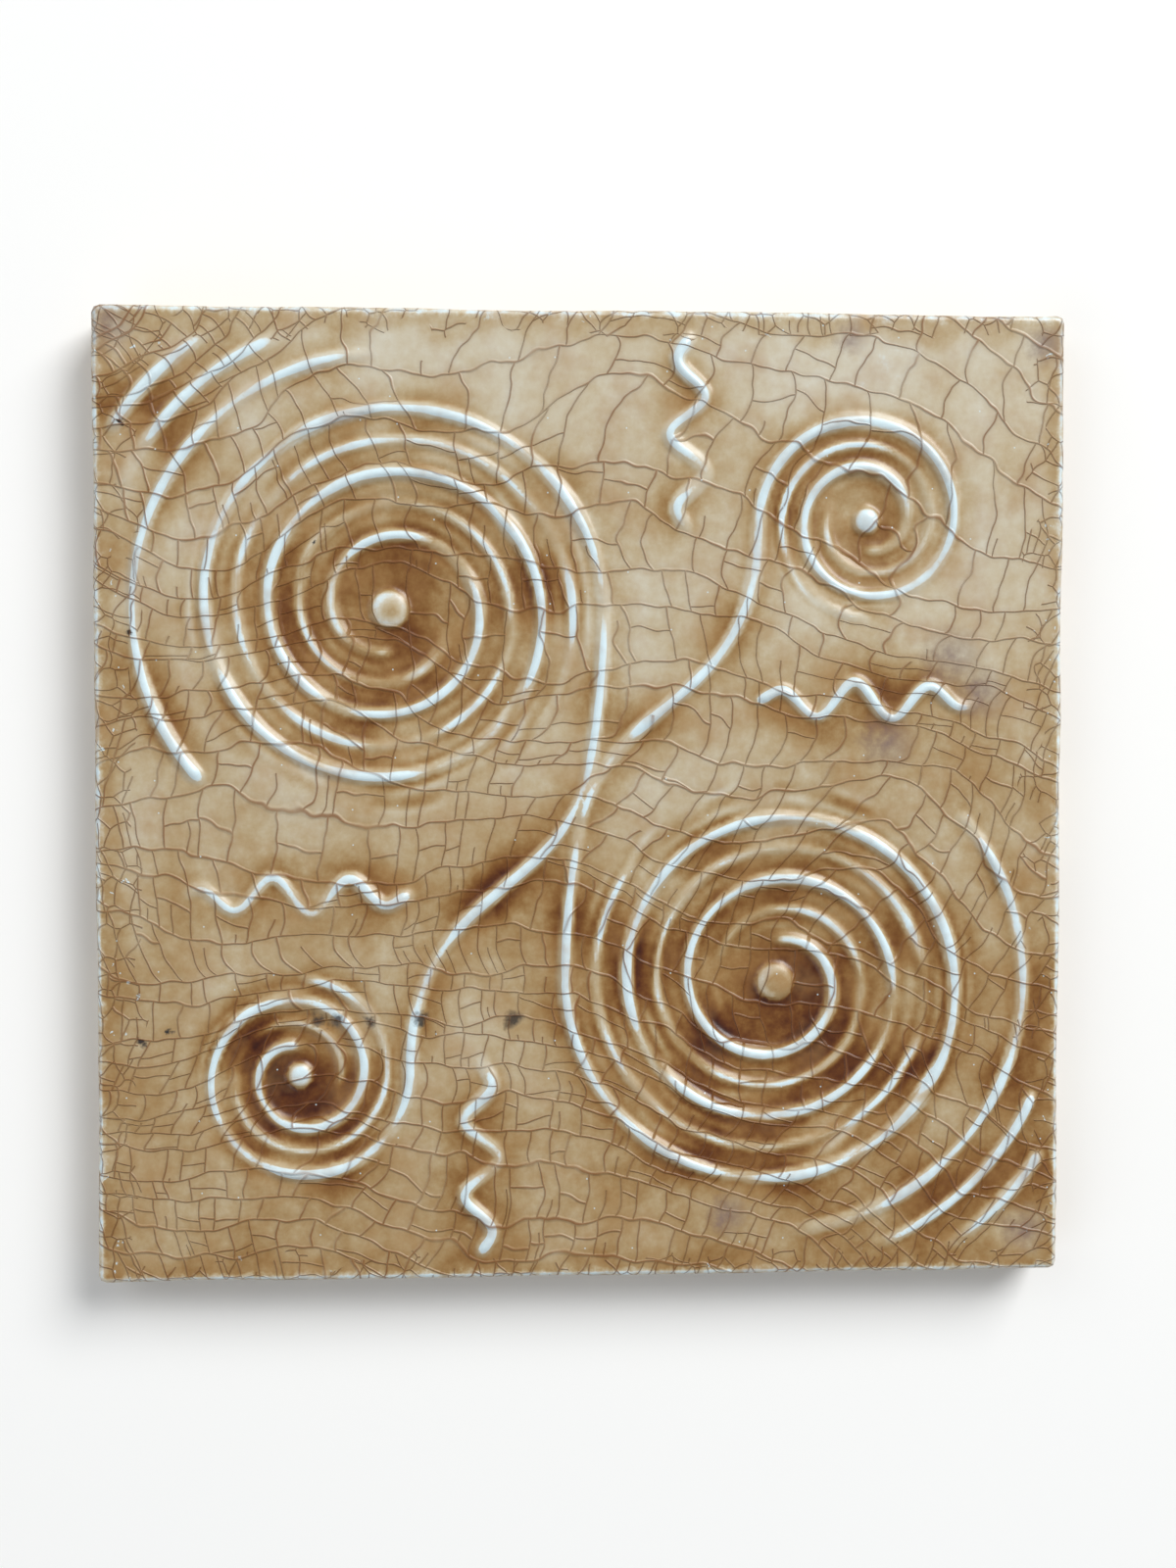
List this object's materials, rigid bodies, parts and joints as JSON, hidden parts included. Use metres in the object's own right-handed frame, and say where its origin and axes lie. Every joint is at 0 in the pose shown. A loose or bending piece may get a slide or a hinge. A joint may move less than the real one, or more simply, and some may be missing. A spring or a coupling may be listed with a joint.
{
  "type": "relief glazed tile",
  "caption": "Square pressed wall tile with raised scroll and wave lines under a honey-brown crazed translucent glaze, and keying grooves in its back.",
  "frame": {"origin": "middle of the back, on the plane of its ribs and rim, which the tile lies on", "axes": "+Z out of the glazed face, +Y towards the edge that is the top edge on a wall, +X to the right as one faces the glaze"},
  "size_m": [0.15, 0.15, 0.0105],
  "materials": {
    "glaze": "gloss"
  },
  "bodies": {
    "root": {"tile": "glaze"}
  },
  "joints": []
}
